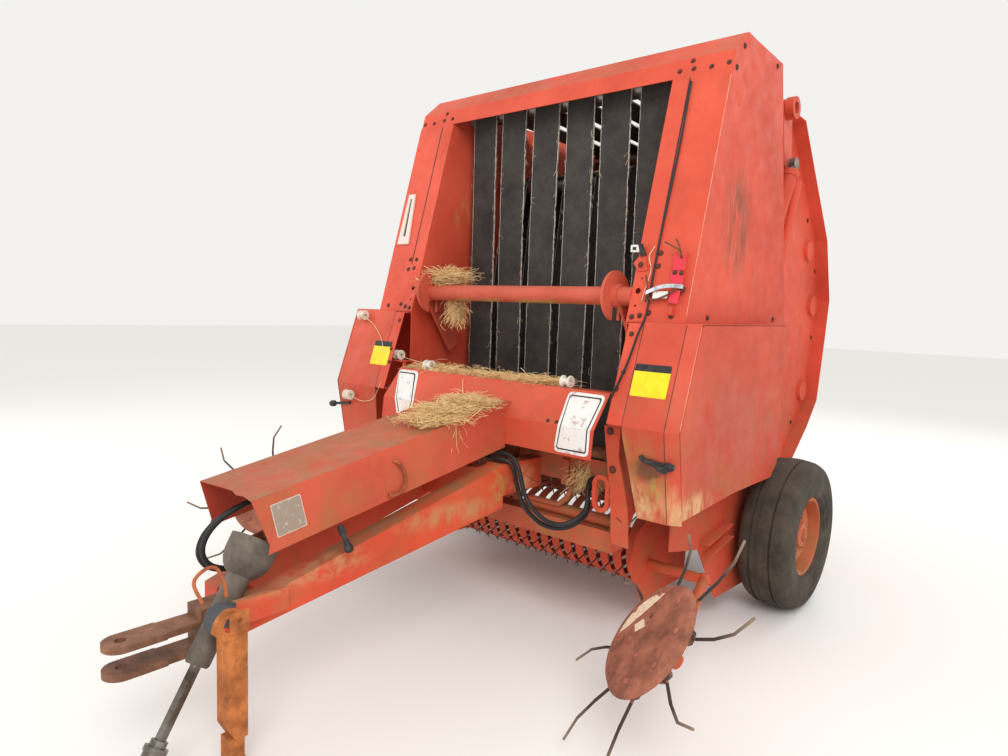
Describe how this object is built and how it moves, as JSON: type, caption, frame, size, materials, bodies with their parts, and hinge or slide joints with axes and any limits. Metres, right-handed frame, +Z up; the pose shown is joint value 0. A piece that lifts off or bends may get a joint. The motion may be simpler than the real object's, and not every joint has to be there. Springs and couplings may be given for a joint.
{
  "type": "round baler",
  "caption": "Towed round baler with a belt-lined chamber, lifting tailgate, tined pickup, gathering wheels, drawbar on a jack leg and a covered driveline.",
  "frame": {"origin": "centre of the overall box, on the ground below it", "axes": "+Z up, -Y forward along the drawbar, +X to the machine's left side"},
  "size_m": [2.8238, 3.884, 2.456],
  "materials": {
    "red_paint": "faded, chalky red paint",
    "bright_red_paint": "worn orange red paint",
    "belt_rubber": "scuffed",
    "roller_steel": "worn bright",
    "rusty_steel": "rusty",
    "grey_guard": "dirty grey brown",
    "tyre_rubber": "dusty",
    "hose_rubber": "satin",
    "ceramic_white": "glazed",
    "white_metal": "scratched white"
  },
  "bodies": {
    "frame": {"side_wall_left": "red_paint", "side_wall_right": "red_paint", "side_box_left": "red_paint", "side_box_right": "red_paint", "top_fascia": "red_paint", "front_panel": "red_paint", "lower_panel_left": "red_paint", "lower_panel_right": "red_paint", "tongue": "bright_red_paint", "hitch_clevis": "rusty_steel", "driveline_cover": "red_paint", "gearbox": "rusty_steel", "inner_driveshaft": "grey_guard", "axle": "bright_red_paint", "cross_members": "bright_red_paint", "frame_rollers": "roller_steel", "belts": "belt_rubber", "tension_arm": "bright_red_paint", "twine_guides": "ceramic_white", "front_controls": "white_metal", "hose_front_a": "hose_rubber", "hose_front_b": "hose_rubber", "hose_side_a": "hose_rubber", "hose_side_b": "hose_rubber"},
    "tailgate": {"gate_side_left": "red_paint", "gate_side_right": "red_paint", "gate_frame": "red_paint", "gate_rollers": "roller_steel"},
    "left_barrel": {"cylinder_barrel_left": "red_paint"},
    "right_barrel": {"cylinder_barrel_right": "red_paint"},
    "left_rod": {"cylinder_rod_left": "roller_steel"},
    "right_rod": {"cylinder_rod_right": "roller_steel"},
    "left_wheel": {"tyre_left": "tyre_rubber", "rim_left": "bright_red_paint"},
    "right_wheel": {"tyre_right": "tyre_rubber", "rim_right": "bright_red_paint"},
    "left_shield": {"side_shield_left": "red_paint"},
    "right_shield": {"side_shield_right": "red_paint"},
    "jack": {"jack_leg": "rusty_steel"},
    "driveline": {"pto_guard": "grey_guard"},
    "driveline_end": {"pto_shaft": "roller_steel"},
    "pickup": {"pickup_frame": "bright_red_paint"},
    "reel": {"pickup_reel": "roller_steel"},
    "left_gather": {"gather_wheel_left": "rusty_steel"},
    "right_gather": {"gather_wheel_right": "rusty_steel"}
  },
  "joints": [
    {"name": "left_wheel_spin", "type": "hinge", "parent": "frame", "child": "left_wheel", "pos_m": [0.95, 0.72, 0.35], "axis": [1, 0, 0], "continuous": true},
    {"name": "right_wheel_spin", "type": "hinge", "parent": "frame", "child": "right_wheel", "pos_m": [-0.95, 0.72, 0.35], "axis": [1, 0, 0], "continuous": true},
    {"name": "tailgate_lift", "type": "hinge", "parent": "frame", "child": "tailgate", "pos_m": [0, 0.82, 2.34], "axis": [1, 0, 0], "range_deg": [0, 60], "deforming": ["belts"]},
    {"name": "left_barrel_swing", "type": "hinge", "parent": "frame", "child": "left_barrel", "pos_m": [0.8, 0.26, 1.12], "axis": [1, 0, 0], "range_deg": [-3.04, 0.05]},
    {"name": "left_rod_slide", "type": "slide", "parent": "left_barrel", "child": "left_rod", "axis": [0, 0.5324, 0.8465], "range_m": [-0.0005, 0.24681]},
    {"name": "right_barrel_swing", "type": "hinge", "parent": "frame", "child": "right_barrel", "pos_m": [-0.8, 0.26, 1.12], "axis": [1, 0, 0], "range_deg": [-3.04, 0.05]},
    {"name": "right_rod_slide", "type": "slide", "parent": "right_barrel", "child": "right_rod", "axis": [0, 0.5324, 0.8465], "range_m": [-0.0005, 0.24681]},
    {"name": "left_shield_lift", "type": "hinge", "parent": "frame", "child": "left_shield", "pos_m": [0.921, 0.14, 1.3157], "axis": [0, -1, 0], "range_deg": [0, 80]},
    {"name": "right_shield_lift", "type": "hinge", "parent": "frame", "child": "right_shield", "pos_m": [-1.054, 0.14, 1.3157], "axis": [0, 1, 0], "range_deg": [0, 80]},
    {"name": "jack_swing", "type": "hinge", "parent": "frame", "child": "jack", "pos_m": [0.225, -1.698, 0.456], "axis": [1, 0, 0], "range_deg": [0, 80]},
    {"name": "driveline_swing", "type": "hinge", "parent": "frame", "child": "driveline", "pos_m": [0.07, -1.525, 0.59], "axis": [-1, 0, 0], "range_deg": [0, 55]},
    {"name": "driveline_slide", "type": "slide", "parent": "driveline", "child": "driveline_end", "axis": [0.1172, -0.564, -0.8174], "range_m": [-0.15, 0]},
    {"name": "pickup_lift", "type": "hinge", "parent": "frame", "child": "pickup", "pos_m": [0, 0.29, 0.52], "axis": [-1, 0, 0], "range_deg": [0, 10]},
    {"name": "reel_spin", "type": "hinge", "parent": "pickup", "child": "reel", "pos_m": [0, 0.1, 0.335], "axis": [1, 0, 0], "continuous": true},
    {"name": "left_gather_spin", "type": "hinge", "parent": "pickup", "child": "left_gather", "pos_m": [1.049, -0.791, 0.388], "axis": [-0.5572, -0.5572, 0.6157], "continuous": true},
    {"name": "right_gather_spin", "type": "hinge", "parent": "pickup", "child": "right_gather", "pos_m": [-1.049, -0.791, 0.388], "axis": [0.5572, -0.5572, 0.6157], "continuous": true}
  ],
  "couplings": [
    {"joint": "left_barrel_swing", "follows": "tailgate_lift", "ratio": -0.049766},
    {"joint": "left_rod_slide", "follows": "tailgate_lift", "m_per_rad": 0.23521},
    {"joint": "right_barrel_swing", "follows": "tailgate_lift", "ratio": -0.049766},
    {"joint": "right_rod_slide", "follows": "tailgate_lift", "m_per_rad": 0.23521}
  ]
}
